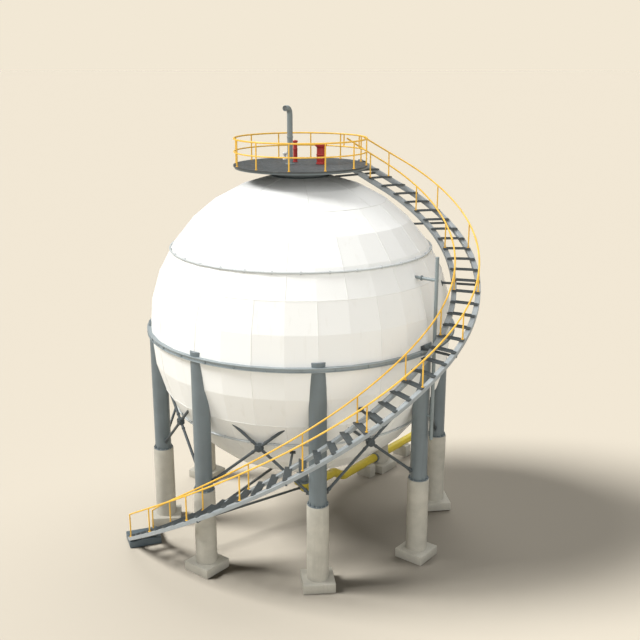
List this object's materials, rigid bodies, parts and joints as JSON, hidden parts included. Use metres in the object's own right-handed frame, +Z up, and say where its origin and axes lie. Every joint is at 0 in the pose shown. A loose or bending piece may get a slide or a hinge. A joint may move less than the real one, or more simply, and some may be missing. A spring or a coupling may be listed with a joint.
{
  "type": "spherical gas tank",
  "caption": "Spherical pressure tank for gas on braced steel columns and concrete piers, with a winding stair up to a round railed platform that carries vent and relief fittings.",
  "frame": {"origin": "ground level under the middle of the whole object's footprint box", "axes": "+Z up; the vessel's axis is parallel to Z; one column and its pier face -Y, and the stair's foot is on the -X side"},
  "size_m": [14.2998, 14.3388, 17.465],
  "materials": {
    "white_paint": "off-white paint, satin",
    "grey_paint": "blue-grey paint, satin",
    "dark_paint": "dark blue-grey paint, matt",
    "stair_paint": "light grey paint on stringers, dark treads",
    "rail_paint": "safety yellow paint, satin",
    "pipe_paint": "olive yellow paint, satin",
    "valve_paint": "dark red paint, satin",
    "concrete": "bare cast concrete"
  },
  "bodies": {
    "root": {"bottom_cap": "white_paint", "bottom_nozzle": "grey_paint", "brace_1": "dark_paint", "brace_2": "dark_paint", "brace_3": "dark_paint", "brace_4": "dark_paint", "brace_5": "dark_paint", "brace_6": "dark_paint", "brace_7": "dark_paint", "brace_8": "dark_paint", "column_1": "grey_paint", "column_2": "grey_paint", "column_3": "grey_paint", "column_4": "grey_paint", "column_5": "grey_paint", "column_6": "grey_paint", "column_7": "grey_paint", "column_8": "grey_paint", "entry_guard": "rail_paint", "equator_girder": "grey_paint", "equator_zone": "white_paint", "inner_handrail_1": "rail_paint", "inner_handrail_2": "rail_paint", "inner_handrail_3": "rail_paint", "inner_handrail_4": "rail_paint", "large_relief_valve": "valve_paint", "level_gauge": "white_paint", "lower_hoop": "white_paint", "lower_zone": "white_paint", "outer_handrail_1": "rail_paint", "outer_handrail_2": "rail_paint", "outer_handrail_3": "rail_paint", "outer_handrail_4": "rail_paint", "outlet_pipe": "pipe_paint", "pier_1": "concrete", "pier_2": "concrete", "pier_3": "concrete", "pier_4": "concrete", "pier_5": "concrete", "pier_6": "concrete", "pier_7": "concrete", "pier_8": "concrete", "pipe_saddle_1": "concrete", "pipe_saddle_2": "concrete", "platform_railing": "rail_paint", "small_relief_valve": "valve_paint", "stair_base": "dark_paint", "stair_flight_1": "stair_paint", "stair_flight_2": "stair_paint", "stair_flight_3": "stair_paint", "stair_flight_4": "stair_paint", "standpipe": "grey_paint", "top_cap": "white_paint", "top_neck": "grey_paint", "top_platform": "dark_paint", "upper_hoop": "white_paint", "upper_zone": "white_paint", "vent_pipe": "grey_paint"}
  },
  "joints": []
}
